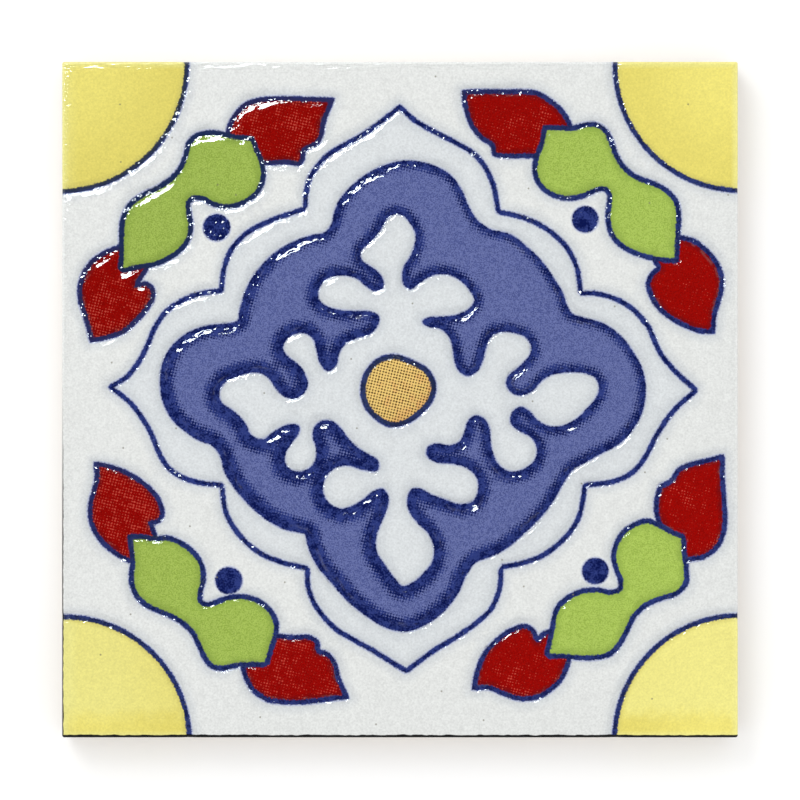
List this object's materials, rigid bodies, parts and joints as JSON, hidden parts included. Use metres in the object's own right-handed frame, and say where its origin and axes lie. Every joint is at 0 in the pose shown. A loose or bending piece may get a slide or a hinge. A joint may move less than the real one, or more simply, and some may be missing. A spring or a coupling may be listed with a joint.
{
  "type": "floral tile",
  "caption": "Square glazed ceramic wall tile with a floral medallion and corner motifs drawn in sunken lines between raised glaze fields.",
  "frame": {"origin": "centre of the flat back face, which the tile lies on", "axes": "+Z out of the glazed face, +Y towards the top of the ornament, +X to its right"},
  "size_m": [0.108, 0.108, 0.0065],
  "materials": {
    "glazed_clay": "White glossy glaze on a fired clay body, with blue, red, green, yellow and ochre glaze fields parted by navy lines; bare buff clay on the back"
  },
  "bodies": {
    "root": {"tile": "glazed_clay"}
  },
  "joints": []
}
